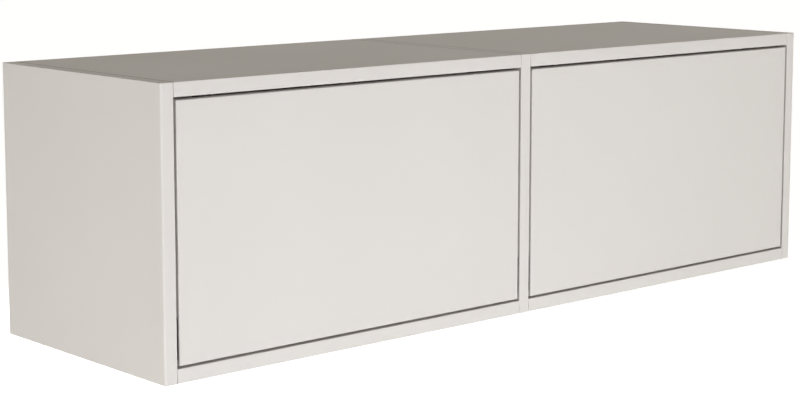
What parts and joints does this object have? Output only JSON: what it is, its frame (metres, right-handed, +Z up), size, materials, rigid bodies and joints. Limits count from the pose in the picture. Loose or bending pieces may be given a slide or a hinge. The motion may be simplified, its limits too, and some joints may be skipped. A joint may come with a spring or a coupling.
{
  "type": "floating media console",
  "caption": "Low wall-hung media cabinet with full-height sides and divider, and flush push-open flaps that drop down on pivot hinges and soft-down stays.",
  "frame": {"origin": "middle of the four wall fixings, on the plane of the wall; the cabinet's top is 70 mm above it", "axes": "+Z up; +Y from the front towards the wall; X along the width, +X to the right of someone facing the front"},
  "size_m": [1.2, 0.36, 0.36],
  "materials": {
    "lacquered_board": "satin warm light grey lacquer on fibreboard",
    "back_board": "matt coated thin fibreboard",
    "white_plastic": "fine moulded texture",
    "grey_plastic": "fine moulded texture",
    "zinc_steel": "zinc-plated pressed steel",
    "bright_steel": "nickel-plated steel",
    "cast_zinc": "die-cast zinc",
    "beech": "raw beech",
    "rubber_pad": "soft grey rubber"
  },
  "bodies": {
    "cabinet": {"back_panel_left": "back_board", "back_panel_right": "back_board", "bottom_left": "lacquered_board", "bottom_right": "lacquered_board", "cabinet_leaves_left": "zinc_steel", "cabinet_leaves_right": "zinc_steel", "cable_grommet_left": "white_plastic", "cable_grommet_right": "white_plastic", "cam_bolts": "bright_steel", "cam_housings": "cast_zinc", "divider": "lacquered_board", "dowels": "beech", "fitting_screws": "bright_steel", "flap_stops_left": "grey_plastic", "flap_stops_right": "grey_plastic", "hanger_adjusters": "bright_steel", "hanger_case_left": "white_plastic", "hanger_case_right": "white_plastic", "hanger_hook_left": "zinc_steel", "hanger_hook_right": "zinc_steel", "hinge_screws": "bright_steel", "hinge_washers_left": "grey_plastic", "hinge_washers_right": "grey_plastic", "latch_housing_left": "grey_plastic", "latch_housing_right": "grey_plastic", "side_left": "lacquered_board", "side_right": "lacquered_board", "stay_case_left": "grey_plastic", "stay_case_right": "grey_plastic", "stop_pads": "rubber_pad", "top_left": "lacquered_board", "top_right": "lacquered_board", "wall_plate_left": "zinc_steel", "wall_plate_right": "zinc_steel"},
    "flap_left": {"flap_left": "lacquered_board", "flap_leaves_left": "zinc_steel", "flap_screws_left": "bright_steel", "stay_bracket_left": "zinc_steel", "stay_clip_left": "bright_steel", "strike_plate_left": "zinc_steel"},
    "stay_arm_left": {"stay_arm_left": "zinc_steel", "stay_shaft_left": "bright_steel", "stay_rivets_left": "bright_steel"},
    "stay_link_left": {"stay_link_left": "zinc_steel"},
    "latch_plunger_left": {"latch_plunger_left": "grey_plastic", "latch_magnet_left": "bright_steel"},
    "flap_right": {"flap_right": "lacquered_board", "flap_leaves_right": "zinc_steel", "flap_screws_right": "bright_steel", "stay_bracket_right": "zinc_steel", "stay_clip_right": "bright_steel", "strike_plate_right": "zinc_steel"},
    "stay_arm_right": {"stay_arm_right": "zinc_steel", "stay_shaft_right": "bright_steel", "stay_rivets_right": "bright_steel"},
    "stay_link_right": {"stay_link_right": "zinc_steel"},
    "latch_plunger_right": {"latch_plunger_right": "grey_plastic", "latch_magnet_right": "bright_steel"}
  },
  "joints": [
    {"name": "flap_left_hinge", "type": "hinge", "parent": "cabinet", "child": "flap_left", "pos_m": [-0.582, -0.3525, -0.2595], "axis": [1, 0, 0], "range_deg": [0, 90]},
    {"name": "stay_arm_left_pivot", "type": "hinge", "parent": "cabinet", "child": "stay_arm_left", "pos_m": [-0.5677, -0.2865, -0.213], "axis": [1, 0, 0], "range_deg": [0, 90]},
    {"name": "stay_elbow_left", "type": "hinge", "parent": "stay_arm_left", "child": "stay_link_left", "pos_m": [-0.5644, -0.2625, -0.118], "axis": [1, 0, 0], "range_deg": [-90, 0]},
    {"name": "latch_left_push", "type": "slide", "parent": "cabinet", "child": "latch_plunger_left", "axis": [0, 1, 0], "range_m": [0, 0.003], "stiffness_N_per_m": 150, "springref_m": -0.02},
    {"name": "flap_right_hinge", "type": "hinge", "parent": "cabinet", "child": "flap_right", "pos_m": [0.582, -0.3525, -0.2595], "axis": [1, 0, 0], "range_deg": [0, 90]},
    {"name": "stay_arm_right_pivot", "type": "hinge", "parent": "cabinet", "child": "stay_arm_right", "pos_m": [0.5677, -0.2865, -0.213], "axis": [1, 0, 0], "range_deg": [0, 90]},
    {"name": "stay_elbow_right", "type": "hinge", "parent": "stay_arm_right", "child": "stay_link_right", "pos_m": [0.5644, -0.2625, -0.118], "axis": [1, 0, 0], "range_deg": [-90, 0]},
    {"name": "latch_right_push", "type": "slide", "parent": "cabinet", "child": "latch_plunger_right", "axis": [0, 1, 0], "range_m": [0, 0.003], "stiffness_N_per_m": 150, "springref_m": -0.02}
  ],
  "couplings": [
    {"joint": "stay_arm_left_pivot", "follows": "flap_left_hinge", "ratio": 1},
    {"joint": "stay_elbow_left", "follows": "flap_left_hinge", "ratio": -1},
    {"joint": "stay_arm_right_pivot", "follows": "flap_right_hinge", "ratio": 1},
    {"joint": "stay_elbow_right", "follows": "flap_right_hinge", "ratio": -1}
  ]
}
